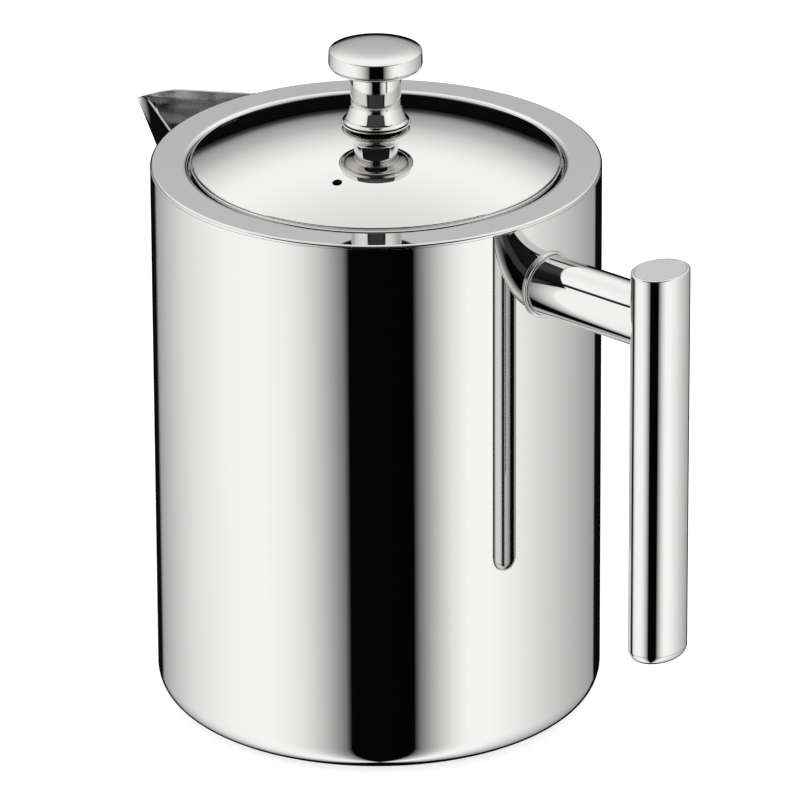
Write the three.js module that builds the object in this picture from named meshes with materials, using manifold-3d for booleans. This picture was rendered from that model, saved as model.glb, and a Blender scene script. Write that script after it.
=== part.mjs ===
// A double-walled french press in polished stainless steel, in millimetres, +Z up.
// The origin is the centre of the base, on the table. The handle is at +X and the spout at -X.
// It is modelled with the plunger pressed down and the lid seated.

import * as THREE from 'three';
import { mergeVertices } from 'three/addons/utils/BufferGeometryUtils.js';
import Module from 'manifold-3d';

const wasm = await Module();
wasm.setup();

// Driving dimensions: the double-walled pot.
const bodyRadius = 59;
const bodyHeight = 149.5;
const sheet = 1.0;
const bottomCorner = 7.1;
const footWidth = 6;
const boreRadius = 47.4;
const neckRadius = 49;
const seatDepth = 4.3;
const rimEdge = 0.8;
const rimRoll = 1.6;
const floorHeight = 8;
const floorCorner = 6;

// The pour port through both walls, and the beak spout outside it.
const portWidth = 16;
const portHeight = 16;
const portCorner = 4;
const portBelowSkirt = 1.5;
const portCollarWall = 0.8;
const spoutReach = 26;
const spoutHalfWidth = 16.7;
const spoutLipDrop = 1.1;
const spoutTipDroop = 3.2;
const spoutDroopLength = 10.6;
const spoutKeelDepth = 47.1;
const spoutKeelRoundness = 1.5;
const spoutTipHalfWidth = 0.9;
const spoutRootDepth = 4;

// The handle: a round arm and an upright oval grip.
const armRadius = 8;
const armWall = 1.5;
const armDrop = 18.9;
const beadWidth = 1.6;
const beadWall = 0.8;
const gripDistance = 96.9;
const gripHalfDepth = 6.85;
const gripHalfWidth = 8.7;
const gripTopDrop = 4.6;
const gripLength = 108;
const gripWall = 1.2;
const gripTopEdge = 0.4;
const gripEndRound = 2.8;
const backingWidth = 26;
const backingHeight = 24;

// The lid: a dome in a turned skirt that stands on the neck's seat.
const domeRise = 10.3;
const domeEdgeRise = 0.4;
const domeSheet = 0.8;
const lipWidth = 0.4;
const lipRise = 0.2;
const neckClearance = 0.4;
const skirtClearance = 0.5;
const skirtDepth = 11;
const skirtWall = 2.1;
const sealHeight = 2.4;
const sealDepth = 6.8;
const sealThickness = 0.9;
const ventRadius = 1.3;
const ventDistance = 31.9;
const ventAngle = -66.5;

// The rod, its guide bush in the dome, and the knob.
const rodRadius = 2.5;
const rodRunning = 0.1;
const bushRadius = 4;
const bushFlangeRadius = 9.05;
const bushFlange = 0.6;
const bushNutRadius = 7.5;
const bushNutHeight = 3.5;
const bushBelowNut = 1;
const knobFlareRadius = 8.95;
const knobFlareHeight = 0.9;
const knobFootRadius = 7.9;
const knobWaistRadius = 6.6;
const knobNeckRadius = 6.65;
const knobUndersideRadius = 8.9;
const knobHeadRadius = 12.3;
const knobWaistHeight = 4.2;
const knobNeckHeight = 13;
const knobUndersideHeight = 13.5;
const knobBandFoot = 16.1;
const knobBandTop = 19.6;
const knobEdge = 0.3;
const knobCrown = 0.8;
const knobSocketDepth = 8.5;

// The filter stack at the foot of the rod.
const filterHeight = 22;
const wallWipe = 0.4;
const springRadius = 1.4;
const plateSheet = 1.2;
const screenSheet = 0.4;
const screenClearance = 0.8;
const hubRadius = 7;
const hubNutHeight = 4.5;
const rodEndRecess = 1;
const rodCollarHeight = 3;
const plateSpokes = 6;
const spokeWidth = 6;
const discHoles = 12;
const discHoleRadius = 4;

// Vertices closer than this are one vertex.
const mergeTolerance = 1e-4;

// Clearance between pieces that are welded, screwed or rested together.
const gap = 0.3;

// Steps round a full circle: large turned pieces, and small ones.
const largeSteps = 40;
const smallSteps = 24;

const polishedSteel = { color: 0xd2d3d4, roughness: 0.05, metalness: 1 };
const satinSteel = { color: 0xb4b5b6, roughness: 0.35, metalness: 1 };
const gauzeSteel = { color: 0xa9aaab, roughness: 0.5, metalness: 1 };
const sealSilicone = { color: 0x2a2a2b, roughness: 0.6, metalness: 0 };

// Shape helpers.

// Points on an arc in the profile plane, from one angle to another in degrees.
function arc(centreRadius, centreHeight, radius, fromAngle, toAngle, steps) {
  const points = [];
  for (let i = 0; i <= steps; i += 1) {
    const angle = THREE.MathUtils.degToRad(fromAngle + ((toAngle - fromAngle) * i) / steps);
    const across = centreRadius + radius * Math.cos(angle);
    points.push([across, centreHeight + radius * Math.sin(angle)]);
  }
  return points;
}

// Twice the area inside a profile, positive when it runs anticlockwise.
function turningArea(profile) {
  let total = 0;
  profile.forEach(([radius, height], i) => {
    const [nextRadius, nextHeight] = profile[(i + 1) % profile.length];
    total += radius * nextHeight - nextRadius * height;
  });
  return total;
}

// A solid of revolution about Z. A profile that doesn't start on the axis closes on itself.
function turned(profile, steps = largeSteps) {
  const points = turningArea(profile) > 0 ? [...profile] : [...profile].reverse();
  const startsOnAxis = points[0][0] === 0;
  if (!startsOnAxis) points.push(points[0]);
  const outline = points.map(([radius, height]) => new THREE.Vector2(radius, height));
  return new THREE.LatheGeometry(outline, steps).rotateX(Math.PI / 2);
}

// A plain disc or cylinder about Z.
function disc(radius, bottom, top, steps = largeSteps) {
  return turned([[0, bottom], [radius, bottom], [radius, top], [0, top]], steps);
}

// A ring of rectangular section about Z.
function ring(innerRadius, outerRadius, bottom, top, steps = largeSteps) {
  const low = [[innerRadius, bottom], [outerRadius, bottom]];
  return turned([...low, [outerRadius, top], [innerRadius, top]], steps);
}

// Turns a cylinder about Z into one along X at the arm's height.
function alongArm(geometry) {
  return geometry.rotateY(Math.PI / 2).translate(0, 0, bodyHeight - armDrop);
}

function toSolid(geometry) {
  const bare = geometry.clone();
  bare.deleteAttribute('normal');
  bare.deleteAttribute('uv');
  const merged = mergeVertices(bare, mergeTolerance);
  const index = merged.index.array;
  const corners = [];
  for (let i = 0; i < index.length; i += 3) {
    const [a, b, c] = index.slice(i, i + 3);
    if (a !== b && b !== c && c !== a) corners.push(a, b, c);
  }
  const vertProperties = new Float32Array(merged.attributes.position.array);
  const triVerts = new Uint32Array(corners);
  return new wasm.Manifold(new wasm.Mesh({ numProp: 3, vertProperties, triVerts }));
}

function toGeometry(solid) {
  const { vertProperties, triVerts } = solid.getMesh();
  const geometry = new THREE.BufferGeometry();
  geometry.setAttribute('position', new THREE.BufferAttribute(vertProperties, 3));
  geometry.setIndex(new THREE.BufferAttribute(triVerts, 1));
  geometry.computeVertexNormals();
  return geometry;
}

// One geometry with others cut away from it.
function cut(geometry, ...tools) {
  return toGeometry(tools.reduce((solid, tool) => solid.subtract(toSolid(tool)), toSolid(geometry)));
}

// The space that two geometries share.
function common(geometry, other) {
  return toGeometry(toSolid(geometry).intersect(toSolid(other)));
}

function node(name, geometry, finish) {
  const material = new THREE.MeshStandardMaterial(finish);
  const mesh = new THREE.Mesh(geometry, material);
  mesh.name = name;
  return mesh;
}

// The pot.

const portTop = bodyHeight - skirtDepth - portBelowSkirt;
const portMiddle = portTop - portHeight / 2;
const linerOuterRadius = boreRadius + sheet;
const neckOuterRadius = neckRadius + sheet;
const seatHeight = bodyHeight - seatDepth;

// A rounded rectangle, extruded outwards from the axis along -X through both walls.
function portPrism(margin) {
  const halfWidth = portWidth / 2 + margin;
  const halfHeight = portHeight / 2 + margin;
  const corner = portCorner + margin;
  const shape = new THREE.Shape();
  shape.moveTo(-halfWidth + corner, -halfHeight);
  shape.absarc(halfWidth - corner, -halfHeight + corner, corner, -Math.PI / 2, 0);
  shape.absarc(halfWidth - corner, halfHeight - corner, corner, 0, Math.PI / 2);
  shape.absarc(-halfWidth + corner, halfHeight - corner, corner, Math.PI / 2, Math.PI);
  shape.absarc(-halfWidth + corner, -halfHeight + corner, corner, Math.PI, Math.PI * 1.5);
  const options = { depth: bodyRadius, bevelEnabled: false, curveSegments: 4 };
  const prism = new THREE.ExtrudeGeometry(shape, options);
  prism.rotateX(Math.PI / 2).rotateZ(-Math.PI / 2);
  return prism.translate(-boreRadius / 2, 0, portMiddle);
}

function outerShell() {
  const top = bodyHeight - sheet - gap;
  const cornerRadius = bodyRadius - bottomCorner;
  const wall = turned([
    [cornerRadius - footWidth, 0],
    ...arc(cornerRadius, bottomCorner, bottomCorner, -90, 0, 5),
    [bodyRadius, top],
    [bodyRadius - sheet, top],
    ...arc(cornerRadius, bottomCorner, bottomCorner - sheet, 0, -90, 5),
    [cornerRadius - footWidth, sheet],
  ]);
  return cut(wall, portPrism(0));
}

function basePlate() {
  const radius = bodyRadius - bottomCorner - footWidth - gap;
  return disc(radius, 0, sheet);
}

function rimRing() {
  const rollRadius = neckRadius + rimRoll;
  return turned([
    [bodyRadius, bodyHeight - sheet],
    ...arc(bodyRadius - rimEdge, bodyHeight - rimEdge, rimEdge, 0, 90, 3),
    ...arc(rollRadius, bodyHeight - rimRoll, rimRoll, 90, 180, 4),
    [neckRadius, seatHeight + gap],
    [neckOuterRadius, seatHeight + gap],
    ...arc(rollRadius, bodyHeight - rimRoll, rimRoll - sheet, 180, 90, 2),
  ]);
}

function innerLiner() {
  const floorUnder = floorHeight - sheet;
  const cornerRadius = boreRadius - floorCorner;
  const cornerHeight = floorHeight + floorCorner;
  const cup = turned([
    [0, floorUnder],
    ...arc(cornerRadius, cornerHeight, floorCorner + sheet, -90, 0, 4),
    [linerOuterRadius, seatHeight - sheet],
    [neckOuterRadius, seatHeight - sheet],
    [neckOuterRadius, seatHeight],
    [boreRadius, seatHeight],
    ...arc(cornerRadius, cornerHeight, floorCorner, 0, -90, 4),
    [0, floorHeight],
  ]);
  return cut(cup, portPrism(0));
}

function portCollar() {
  const between = ring(linerOuterRadius + gap, bodyRadius - sheet - gap, 0, bodyHeight);
  return cut(common(between, portPrism(portCollarWall)), portPrism(0));
}

// The spout is a beak: its sections are scaled curves that narrow in a straight line to the tip.

const spoutRoot = bodyRadius - spoutRootDepth;
const spoutTip = bodyRadius + spoutReach;
const spoutLipRoot = bodyHeight - spoutLipDrop;
const spoutKeelRoot = bodyHeight - spoutKeelDepth;
const spoutTipHeight = spoutLipRoot - spoutTipDroop;

// Height of the lip above the table at a distance from the axis. It droops towards the tip.
function spoutLipHeight(distance) {
  const droop = Math.max(0, (distance - (spoutTip - spoutDroopLength)) / spoutDroopLength);
  return spoutLipRoot - spoutTipDroop * droop * droop;
}

// The beak's outer solid, or, with a wall, the hollow that the wall leaves inside it.
function beak(wall) {
  const alongSteps = 12;
  const acrossSteps = 20;
  const keelSlope = (spoutTipHeight - spoutKeelRoot) / spoutReach;
  const steepness = Math.hypot(1, keelSlope);
  const sideSlope = spoutHalfWidth / spoutReach;
  const tip = spoutTip - wall / sideSlope;
  const rows = [];
  for (let i = 0; i <= alongSteps; i += 1) {
    const distance = spoutRoot + ((tip - spoutRoot) * i) / alongSteps;
    const left = spoutTip - distance;
    const halfWidth = Math.max(spoutTipHalfWidth / (1 + wall), left * sideSlope - wall);
    const lip = spoutLipHeight(distance) + (wall > 0 ? sheet : 0);
    const keelLift = wall * steepness;
    const keel = Math.min(spoutTipHeight - left * keelSlope + keelLift - sheet, lip - sheet);
    const row = [];
    for (let j = 0; j <= acrossSteps; j += 1) {
      const across = (2 * j) / acrossSteps - 1;
      const depth = 1 - Math.abs(across) ** spoutKeelRoundness;
      row.push([-distance, halfWidth * across, lip - (lip - keel) * depth]);
    }
    row.push([-distance, 0, lip]);
    rows.push(row);
  }
  return loft(rows);
}

// A closed solid through rows of points, each row a closed ring, with flat ends.
function loft(rows) {
  const ringSize = rows[0].length;
  const positions = rows.flat(2);
  const index = [];
  const at = (i, j) => i * ringSize + (j % ringSize);
  for (let i = 0; i < rows.length - 1; i += 1) {
    for (let j = 0; j < ringSize; j += 1) {
      index.push(at(i, j), at(i + 1, j), at(i + 1, j + 1));
      index.push(at(i, j), at(i + 1, j + 1), at(i, j + 1));
    }
  }
  const lastRow = rows.length - 1;
  const hub = ringSize - 1;
  for (let j = 0; j < hub - 1; j += 1) {
    index.push(at(0, hub), at(0, j), at(0, j + 1));
    index.push(at(lastRow, hub), at(lastRow, j + 1), at(lastRow, j));
  }
  const geometry = new THREE.BufferGeometry();
  geometry.setAttribute('position', new THREE.Float32BufferAttribute(positions, 3));
  geometry.setIndex(index);
  return geometry;
}

function spout() {
  const body = disc(bodyRadius + gap, 0, bodyHeight + sheet);
  return cut(beak(0), beak(sheet), body);
}

// The handle.

const armHeight = bodyHeight - armDrop;
const gripTop = bodyHeight - gripTopDrop;
const gripBottom = gripTop - gripLength;

// Stretches a turned piece into the grip's oval, with its wall left even all round.
function ovalled(geometry) {
  const position = geometry.attributes.position;
  for (let i = 0; i < position.count; i += 1) {
    const x = position.getX(i);
    const y = position.getY(i);
    const radius = Math.hypot(x, y);
    const stretch = radius > 0 ? (radius + gripHalfWidth - gripHalfDepth) / radius : 1;
    position.setY(i, y * stretch);
  }
  return geometry.translate(gripDistance, 0, 0);
}

function handleGrip() {
  const inner = gripHalfDepth - gripWall;
  const bottom = gripBottom + gripEndRound + gap;
  return ovalled(turned([
    [inner, bottom],
    [gripHalfDepth, bottom],
    ...arc(gripHalfDepth - gripTopEdge, gripTop - gripTopEdge, gripTopEdge, 0, 90, 2),
    [inner, gripTop],
  ], smallSteps));
}

function gripTopCap() {
  return ovalled(disc(gripHalfDepth - gripWall - gap, gripTop - sheet, gripTop, smallSteps));
}

function gripEndCap() {
  const top = gripBottom + gripEndRound;
  return ovalled(turned([
    [0, gripBottom],
    ...arc(gripHalfDepth - gripEndRound, top, gripEndRound, -90, 0, 4),
    [0, top],
  ], smallSteps));
}

function handleArm() {
  const inner = armRadius - armWall;
  const tube = alongArm(ring(inner, armRadius, bodyRadius / 2, gripDistance, smallSteps));
  const body = disc(bodyRadius + gap, 0, bodyHeight);
  const gripSpace = ovalled(disc(gripHalfDepth + gap, 0, bodyHeight, smallSteps));
  return cut(tube, body, gripSpace);
}

// The weld bead: a ring round the arm's foot that follows the body's curve.
function handleCollar() {
  const inner = armRadius + gap;
  const tube = alongArm(ring(inner, inner + beadWall, 0, gripDistance, smallSteps));
  const body = ring(bodyRadius + gap, bodyRadius + gap + beadWidth, 0, bodyHeight);
  return common(tube, body);
}

// The stiffening plate behind the outer wall, where the arm is welded on.
function handleBackingPlate() {
  const outside = bodyRadius - sheet - gap;
  const wall = ring(outside - sheet, outside, 0, bodyHeight);
  const block = new THREE.BoxGeometry(bodyRadius, backingWidth, backingHeight);
  block.translate(bodyRadius, 0, armHeight);
  return common(wall, block);
}

// The lid.

const lipRadius = neckRadius - neckClearance;
const domeEdgeRadius = lipRadius - lipWidth - gap;
const skirtRadius = boreRadius - skirtClearance;
const sealRadius = boreRadius - gap;
const sealBottom = bodyHeight - sealDepth - sealHeight;

// Sphere that the dome's upper face belongs to, from its rise and its edge.
const domeHeight = domeRise - domeEdgeRise;
const domeSphere = (domeEdgeRadius ** 2 + domeHeight ** 2) / (2 * domeHeight);

// Height of the dome's upper face at a radius, and of its lower face with a thickness.
function domeSurface(radius, thickness = 0) {
  const centre = bodyHeight + domeRise - domeSphere;
  return centre + Math.sqrt(domeSphere ** 2 - radius ** 2) - thickness;
}

function lidDome() {
  const steps = 6;
  const holeRadius = bushRadius + gap;
  const upper = [];
  const lower = [];
  for (let i = 0; i <= steps; i += 1) {
    const radius = holeRadius + ((domeEdgeRadius - holeRadius) * i) / steps;
    upper.push([radius, domeSurface(radius)]);
    lower.push([radius, domeSurface(radius, domeSheet)]);
  }
  const vent = disc(ventRadius, bodyHeight - domeRise, bodyHeight + 2 * domeRise, smallSteps);
  const angle = THREE.MathUtils.degToRad(ventAngle);
  vent.translate(ventDistance * Math.cos(angle), ventDistance * Math.sin(angle), 0);
  return cut(turned([...lower, ...upper.reverse()]), vent);
}

function lidSkirt() {
  const inner = skirtRadius - skirtWall;
  const grooveRadius = sealRadius - sealThickness - gap;
  const ledge = domeSurface(domeEdgeRadius, domeSheet) - gap;
  const foot = bodyHeight - skirtDepth;
  return turned([
    [inner, foot],
    [skirtRadius, foot],
    [skirtRadius, sealBottom - gap],
    [grooveRadius, sealBottom - gap],
    [grooveRadius, sealBottom + sealHeight + gap],
    [skirtRadius, sealBottom + sealHeight + gap],
    [skirtRadius, seatHeight + gap],
    [lipRadius, seatHeight + gap],
    [lipRadius, bodyHeight + lipRise],
    [lipRadius - lipWidth, bodyHeight + lipRise],
    [lipRadius - lipWidth, ledge],
    [inner, ledge],
  ]);
}

function lidSeal() {
  const inner = sealRadius - sealThickness;
  return ring(inner, sealRadius, sealBottom, sealBottom + sealHeight);
}

const bushFoot = domeSurface(bushRadius + gap) + gap;
const bushTop = bushFoot + bushFlange;
const nutTop = domeSurface(bushNutRadius, domeSheet) - gap;
const nutBottom = nutTop - bushNutHeight;

function rodBush() {
  const bore = rodRadius + rodRunning;
  const foot = nutBottom - bushBelowNut;
  return turned([
    [bore, foot],
    [bushRadius, foot],
    [bushRadius, bushFoot],
    [bushFlangeRadius, bushFoot],
    [bushFlangeRadius, bushTop],
    [bore, bushTop],
  ], smallSteps);
}

function bushNut() {
  const hexagon = disc(bushNutRadius, nutBottom, nutTop, 6);
  return cut(hexagon, disc(bushRadius + gap, nutBottom - gap, nutTop + gap, smallSteps));
}

// The plunger.

const knobFoot = bushTop + gap;
const socketTop = knobFoot + knobSocketDepth;
const socketRadius = rodRadius + gap;

function knob() {
  const underside = knobFoot + knobUndersideHeight;
  const bandFoot = knobFoot + knobBandFoot;
  const bandTop = knobFoot + knobBandTop;
  const bevelWidth = knobHeadRadius - knobUndersideRadius;
  const bevel = arc(0, 0, 1, -90, 0, 3).map(([across, up]) => {
    const radius = knobUndersideRadius + bevelWidth * across;
    return [radius, bandFoot + (bandFoot - underside) * up];
  });
  const crownRadius = knobHeadRadius - knobEdge;
  const crownSteps = 3;
  const crown = [];
  for (let i = 0; i < crownSteps; i += 1) {
    const share = 1 - i / crownSteps;
    crown.push([crownRadius * share, bandTop + knobCrown * (1 - share * share)]);
  }
  return turned([
    [0, socketTop],
    [socketRadius, socketTop],
    [socketRadius, knobFoot],
    [knobFlareRadius, knobFoot],
    [knobFootRadius, knobFoot + knobFlareHeight],
    [knobWaistRadius, knobFoot + knobWaistHeight],
    [knobNeckRadius, knobFoot + knobNeckHeight],
    ...bevel,
    [knobHeadRadius, bandTop - knobEdge],
    ...crown,
    [0, bandTop + knobCrown],
  ], smallSteps);
}

const crossPlateTop = filterHeight + plateSheet;
const screenTop = crossPlateTop + gap + screenSheet;
const discBottom = screenTop + gap;
const discTop = discBottom + plateSheet;
const springCircle = boreRadius - wallWipe - springRadius;
const hubNutTop = filterHeight - gap;
const hubNutBottom = hubNutTop - hubNutHeight;

function plungerRod() {
  return disc(rodRadius, hubNutBottom + rodEndRecess, socketTop - gap, smallSteps);
}

function rodCollar() {
  const bottom = discTop + gap;
  return ring(rodRadius + gap, hubRadius, bottom, bottom + rodCollarHeight, smallSteps);
}

// A flat round plate with a middle hole for the rod and other holes cut through it.
function piercedPlate(radius, bottom, thickness, holes) {
  const outline = new THREE.Shape().absarc(0, 0, radius, 0, 2 * Math.PI);
  outline.holes.push(new THREE.Path().absarc(0, 0, rodRadius + gap, 0, 2 * Math.PI));
  outline.holes.push(...holes);
  const options = { depth: thickness, bevelEnabled: false, curveSegments: smallSteps };
  return new THREE.ExtrudeGeometry(outline, options).translate(0, 0, bottom);
}

// The upper disc of the filter, with a ring of round holes.
function springDisc() {
  const radius = springCircle - springRadius - gap;
  const holeCircle = (radius + hubRadius) / 2;
  const holes = [];
  for (let i = 0; i < discHoles; i += 1) {
    const angle = (2 * Math.PI * i) / discHoles;
    const hole = new THREE.Path();
    const x = holeCircle * Math.cos(angle);
    hole.absarc(x, holeCircle * Math.sin(angle), discHoleRadius, 0, 2 * Math.PI);
    holes.push(new THREE.Path(hole.getSpacedPoints(8)));
  }
  return piercedPlate(radius, discBottom, plateSheet, holes);
}

// The coil round the filter's edge, as the ring that it fills.
function edgeSpring() {
  const section = arc(springCircle, screenTop + gap + springRadius, springRadius, 0, 315, 7);
  return turned(section);
}

function meshScreen() {
  return piercedPlate(boreRadius - screenClearance, crossPlateTop + gap, screenSheet, []);
}

// The lower plate: a rim, a hub and straight-sided spokes between them.
function crossPlate() {
  const radius = springCircle;
  const rimInner = radius - spokeWidth;
  const hubOuter = hubRadius + spokeWidth / 2;
  const sector = (2 * Math.PI) / plateSpokes;
  const holes = [];
  for (let i = 0; i < plateSpokes; i += 1) {
    const middle = sector * i;
    const outerHalf = sector / 2 - Math.asin(spokeWidth / 2 / rimInner);
    const innerHalf = sector / 2 - Math.asin(spokeWidth / 2 / hubOuter);
    const points = [];
    const cornerAngles = [-1, -0.5, 0, 0.5, 1];
    for (const share of cornerAngles) {
      const angle = middle + outerHalf * share;
      points.push(new THREE.Vector2(rimInner * Math.cos(angle), rimInner * Math.sin(angle)));
    }
    for (const share of [1, 0, -1]) {
      const angle = middle + innerHalf * share;
      points.push(new THREE.Vector2(hubOuter * Math.cos(angle), hubOuter * Math.sin(angle)));
    }
    holes.push(new THREE.Path(points));
  }
  return piercedPlate(radius, filterHeight, plateSheet, holes);
}

function hubNut() {
  return ring(rodRadius + gap, hubRadius, hubNutBottom, hubNutTop, smallSteps);
}

const press = new THREE.Group();
press.add(
  node('outer_shell', outerShell(), polishedSteel),
  node('inner_liner', innerLiner(), satinSteel),
  node('rim_ring', rimRing(), polishedSteel),
  node('base_plate', basePlate(), satinSteel),
  node('port_collar', portCollar(), satinSteel),
  node('spout', spout(), polishedSteel),
  node('handle_backing_plate', handleBackingPlate(), satinSteel),
  node('handle_collar', handleCollar(), polishedSteel),
  node('handle_arm', handleArm(), polishedSteel),
  node('handle_grip', handleGrip(), polishedSteel),
  node('grip_top_cap', gripTopCap(), satinSteel),
  node('grip_end_cap', gripEndCap(), polishedSteel),
  node('lid_dome', lidDome(), polishedSteel),
  node('lid_skirt', lidSkirt(), polishedSteel),
  node('lid_seal', lidSeal(), sealSilicone),
  node('rod_bush', rodBush(), polishedSteel),
  node('bush_nut', bushNut(), satinSteel),
  node('knob', knob(), polishedSteel),
  node('plunger_rod', plungerRod(), polishedSteel),
  node('rod_collar', rodCollar(), polishedSteel),
  node('spring_disc', springDisc(), polishedSteel),
  node('edge_spring', edgeSpring(), satinSteel),
  node('mesh_screen', meshScreen(), gauzeSteel),
  node('cross_plate', crossPlate(), polishedSteel),
  node('hub_nut', hubNut(), satinSteel),
);

export default press;
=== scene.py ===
import math

import bmesh
import bpy
import numpy as np
from mathutils import Matrix, Vector


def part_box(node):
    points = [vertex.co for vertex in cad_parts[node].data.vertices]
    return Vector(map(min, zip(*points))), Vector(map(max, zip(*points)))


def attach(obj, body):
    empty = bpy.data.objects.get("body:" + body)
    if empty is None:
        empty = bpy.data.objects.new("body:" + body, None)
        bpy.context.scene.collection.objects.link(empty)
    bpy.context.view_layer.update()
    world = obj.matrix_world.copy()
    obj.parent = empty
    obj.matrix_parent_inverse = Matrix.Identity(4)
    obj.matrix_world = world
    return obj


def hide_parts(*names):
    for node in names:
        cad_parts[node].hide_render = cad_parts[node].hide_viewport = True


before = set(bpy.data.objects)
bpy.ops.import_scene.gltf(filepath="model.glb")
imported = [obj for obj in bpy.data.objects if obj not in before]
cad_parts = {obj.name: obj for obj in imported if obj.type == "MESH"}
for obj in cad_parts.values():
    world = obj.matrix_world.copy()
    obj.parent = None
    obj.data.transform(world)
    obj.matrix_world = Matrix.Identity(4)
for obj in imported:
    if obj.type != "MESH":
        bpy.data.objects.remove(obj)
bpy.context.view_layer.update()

MM = 0.001


# ---------------------------------------------------------------- camera
# A long lens looks down on the press from the handle's side, far enough away
# that the drum's sides stay nearly parallel.

VIEW_AZIMUTH = 41.7
VIEW_ELEVATION = 23.32
VIEW_DISTANCE = 2.313
VIEW_ROLL = -0.28
LENS = 394.4
AIM_RIGHT = 5.93 * MM
AIM_DOWN = 0.38 * MM

rim_low, rim_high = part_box("rim_ring")
rim_top = rim_high.z
body_radius = rim_high.y
aim_height = rim_top - 1.147 * body_radius


def add_camera():
    """Camera on a sphere round a point on the pot's axis, turned a little to the right."""
    azimuth = math.radians(VIEW_AZIMUTH)
    elevation = math.radians(VIEW_ELEVATION)
    right = Vector((math.cos(azimuth), math.sin(azimuth), 0))
    outward = Vector((
        math.sin(azimuth) * math.cos(elevation),
        -math.cos(azimuth) * math.cos(elevation),
        math.sin(elevation),
    ))
    on_axis = Vector((0, 0, aim_height))
    place = on_axis + outward * VIEW_DISTANCE
    turn = (-outward).to_track_quat("-Z", "Y").to_matrix()
    place += right * AIM_RIGHT - turn.col[1] * AIM_DOWN
    roll = Matrix.Rotation(math.radians(VIEW_ROLL), 3, "Z")
    data = bpy.data.cameras.new("camera")
    data.lens = LENS
    data.sensor_width = 36
    data.clip_end = 20
    camera = bpy.data.objects.new("camera", data)
    camera.matrix_world = Matrix.Translation(place) @ (turn @ roll).to_4x4()
    bpy.context.scene.collection.objects.link(camera)
    bpy.context.scene.camera = camera


add_camera()


# ---------------------------------------------------------------- studio
# Two long soft panels stand at the sides and one hangs overhead, with an unlit gap
# between them. Black cards hide the camera in front and close the room low down behind,
# and a dim card stands above the camera. Metal mirrors this room; all else sees white.

GAP_LEVEL = 16
CARD_LEVEL = 60
MIRRORED_SHARE = 0.7
SIDE_PANEL_TOP = 0.6
OVERHEAD_SIDE = 0.76
OVERHEAD_FRONT = 3.5

# Where each soft edge starts and ends: an elevation in degrees, a slope past an edge, or
# a cosine, which is 1 towards the camera and -1 away from it.
CARD_FOOT = (11, 13.5)
CARD_TOP = (26, 30)
CARD_SIDE = (0.8, 0.88)
FRONT_SIDE = (0.12, 0.4)
CAMERA_FOOT = (-8, 4)
CAMERA_SIDE = (0.93, 0.97)
PANEL_EDGE = (-0.02, 0.03)
OVERHEAD_EDGE = (-0.04, 0.03)
REAR_FOOT = (4, 10)
REAR_SIDE = (-0.3, -0.75)
LOWEST_ELEVATION = -10
HIGHEST_ELEVATION = 90


def brightness(level):
    """Light of a panel that polished steel shows as this 0 to 255 display level."""
    shown = level / 255
    linear = shown / 12.92 if shown <= 0.04045 else ((shown + 0.055) / 1.055) ** 2.4
    return linear / MIRRORED_SHARE


def add_math(tree, operation, *values):
    """A Math node whose inputs are numbers or sockets; returns its output."""
    node = tree.nodes.new("ShaderNodeMath")
    node.operation = operation
    for socket, value in zip(node.inputs, values):
        if isinstance(value, (int, float)):
            socket.default_value = value
        else:
            tree.links.new(value, socket)
    return node.outputs[0]


def add_ramp(tree, value, low, high, stops):
    """A gray ramp over value from low to high; stops are (value, display level)."""
    share = add_math(tree, "DIVIDE", add_math(tree, "SUBTRACT", value, low), high - low)
    node = tree.nodes.new("ShaderNodeValToRGB")
    ramp = node.color_ramp
    while len(ramp.elements) < len(stops):
        ramp.elements.new(0.5)
    for element, (at, level) in zip(ramp.elements, stops):
        element.position = (at - low) / (high - low)
        gray = brightness(level)
        element.color = (gray, gray, gray, 1)
    tree.links.new(share, node.inputs[0])
    separate = tree.nodes.new("ShaderNodeSeparateColor")
    tree.links.new(node.outputs[0], separate.inputs[0])
    return separate.outputs[0]


def add_blend(tree, factor, first, second):
    """first where factor is 0, second where it is 1."""
    kept = add_math(tree, "MULTIPLY", add_math(tree, "SUBTRACT", 1, factor), first)
    return add_math(tree, "ADD", kept, add_math(tree, "MULTIPLY", factor, second))


def add_step(tree, value, low, high):
    """0 below low, 1 above high, and a smooth rise between them."""
    node = tree.nodes.new("ShaderNodeMapRange")
    node.interpolation_type = "SMOOTHSTEP"
    tree.links.new(value, node.inputs["Value"])
    node.inputs["From Min"].default_value = low
    node.inputs["From Max"].default_value = high
    return node.outputs[0]


def add_directions(tree):
    """Azimuth from the camera and elevation in degrees, the slope, sine and cosine."""
    place = tree.nodes.new("ShaderNodeTexCoord")
    turned_to_camera = tree.nodes.new("ShaderNodeVectorRotate")
    turned_to_camera.rotation_type = "Z_AXIS"
    turned_to_camera.inputs["Angle"].default_value = math.radians(-VIEW_AZIMUTH)
    tree.links.new(place.outputs["Generated"], turned_to_camera.inputs["Vector"])
    split = tree.nodes.new("ShaderNodeSeparateXYZ")
    tree.links.new(turned_to_camera.outputs[0], split.inputs[0])
    right, away, up = split.outputs
    towards = add_math(tree, "MULTIPLY", away, -1)
    azimuth = add_math(tree, "DEGREES", add_math(tree, "ARCTAN2", right, towards))
    elevation = add_math(tree, "DEGREES", add_math(tree, "ARCSINE", up))
    level_part = add_math(tree, "SQRT", add_math(
        tree, "SUBTRACT", 1, add_math(tree, "MULTIPLY", up, up)))
    level_part = add_math(tree, "MAXIMUM", level_part, 0.001)
    slope = add_math(tree, "DIVIDE", up, level_part)
    sine = add_math(tree, "ABSOLUTE", add_math(tree, "DIVIDE", right, level_part))
    cosine = add_math(tree, "DIVIDE", towards, level_part)
    return azimuth, elevation, slope, sine, cosine


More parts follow.
